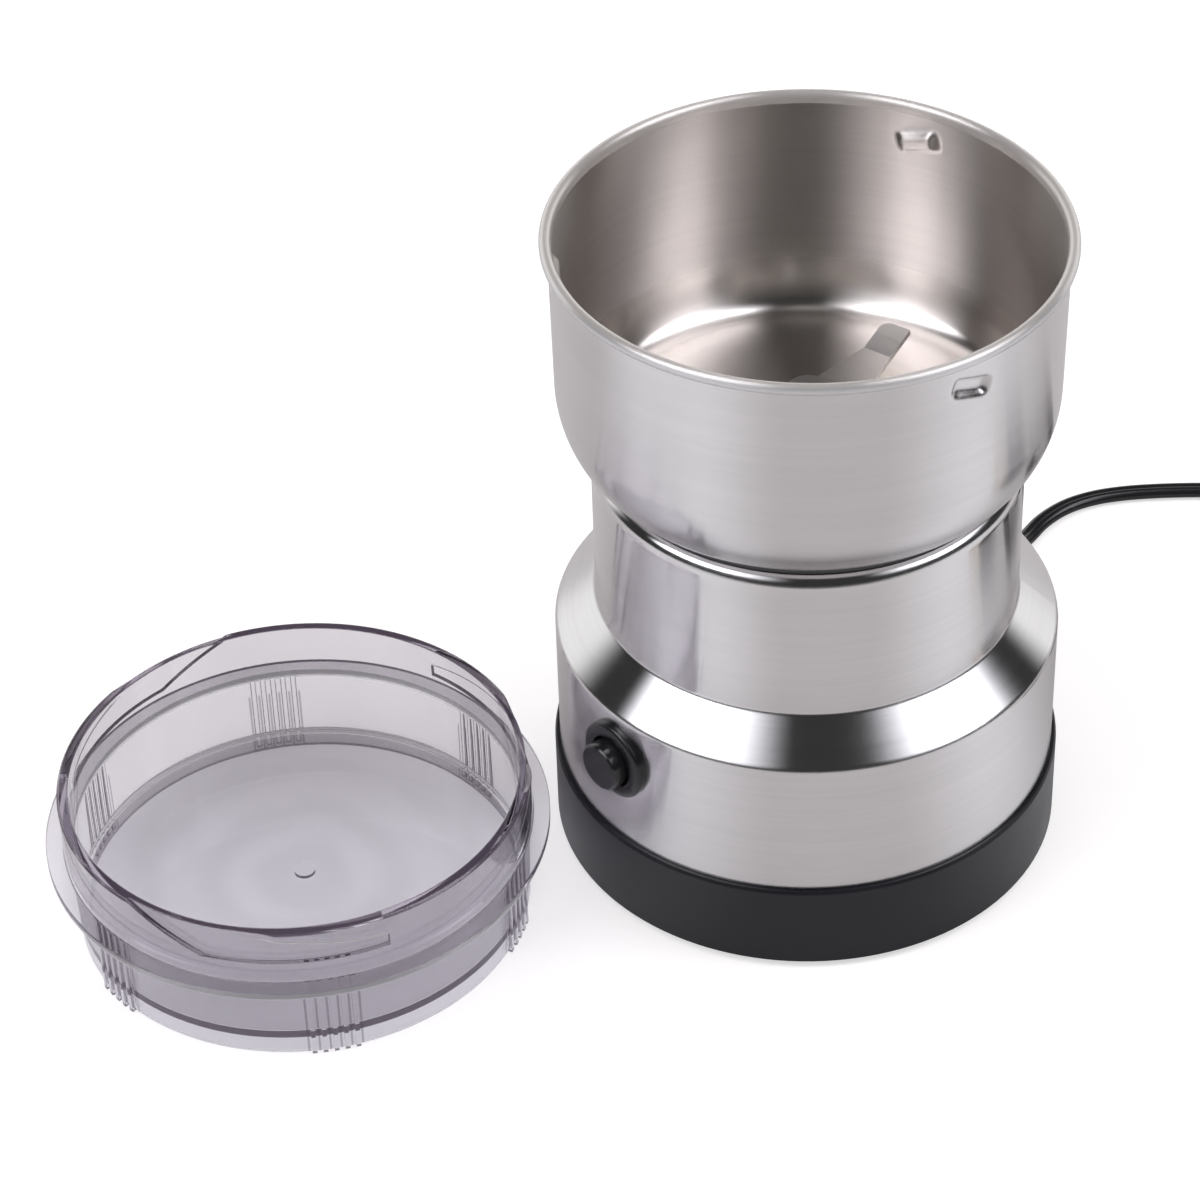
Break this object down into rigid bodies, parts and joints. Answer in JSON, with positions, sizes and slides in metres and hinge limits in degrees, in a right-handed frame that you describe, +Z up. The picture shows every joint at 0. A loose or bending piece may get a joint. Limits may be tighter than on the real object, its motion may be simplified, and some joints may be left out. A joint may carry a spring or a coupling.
{
  "type": "electric spice grinder",
  "caption": "Electric spice grinder: steel bowl with a spinning blade on a waisted steel body with a black base, a side push button, a mains cord and a clear twist-on lid lying beside it.",
  "frame": {"origin": "on the table, under the centre of the round body", "axes": "+Z up along the blade's axis, +X to the right as the picture shows it, with the lid lying towards -X; the button faces -X and -Y, the cord leaves towards +X and +Y"},
  "size_m": [0.3146, 0.1846, 0.1395],
  "materials": {
    "body_steel": "satin brushed round the axis",
    "bowl_steel": "satin brushed round the axis, polished rim",
    "blade_steel": "ground, polished edges",
    "fastener_steel": "zinc plated",
    "black_base": "fine matt texture",
    "black_button": "smooth",
    "black_bezel": "fine matt texture",
    "grey_rubber": "matt",
    "dark_frame": "moulded, matt",
    "core_iron": "stacked sheets",
    "copper_wire": "enamelled",
    "brass_part": "drawn",
    "carbon": "pressed carbon",
    "white_fan": "moulded",
    "cord_black": "smooth flexible sheath",
    "lid_clear": "clear, lightly tinted"
  },
  "bodies": {
    "body": {"steel_housing": "body_steel", "base_ring": "black_base", "bottom_cover": "black_base", "rubber_feet": "grey_rubber", "base_screws": "fastener_steel", "bowl": "bowl_steel", "bowl_ring_nut": "fastener_steel", "shaft_seal": "grey_rubber", "motor_mount": "dark_frame", "upper_bearing": "brass_part", "lower_bracket": "dark_frame", "lower_bearing": "brass_part", "stator_core": "core_iron", "field_coils": "copper_wire", "motor_screws": "fastener_steel", "brush_holders": "brass_part", "carbon_brushes": "carbon", "brush_springs": "fastener_steel", "switch_bezel": "black_bezel", "switch_nut": "black_bezel", "switch_body": "black_base", "switch_terminals": "brass_part", "button_spring": "fastener_steel", "strain_relief": "cord_black", "cord_clamp": "dark_frame", "clamp_screws": "fastener_steel", "cord_lead": "cord_black", "cord_coil": "cord_black", "cord_tail": "cord_black", "plug_body": "cord_black", "plug_pins": "brass_part"},
    "rotor": {"motor_shaft": "fastener_steel", "armature_core": "core_iron", "armature_windings": "copper_wire", "commutator": "copper_wire", "cooling_fan": "white_fan", "blade_collar": "brass_part", "blade": "blade_steel", "blade_nut": "blade_steel"},
    "button": {"push_button": "black_button"},
    "lid": {"lid": "lid_clear"}
  },
  "joints": [
    {"name": "blade_spin", "type": "hinge", "parent": "body", "child": "rotor", "pos_m": [0, 0, 0.09], "axis": [0, 0, 1], "continuous": true},
    {"name": "button_press", "type": "slide", "parent": "body", "child": "button", "axis": [0.7314, 0.682, 0], "range_m": [0, 0.0022], "stiffness_N_per_m": 300, "springref_m": -0.003, "deforming": ["button_spring"]},
    {"name": "lid_lift", "type": "slide", "parent": "body", "child": "lid", "axis": [0, 0, 1], "range_m": [0, 0.1]}
  ]
}
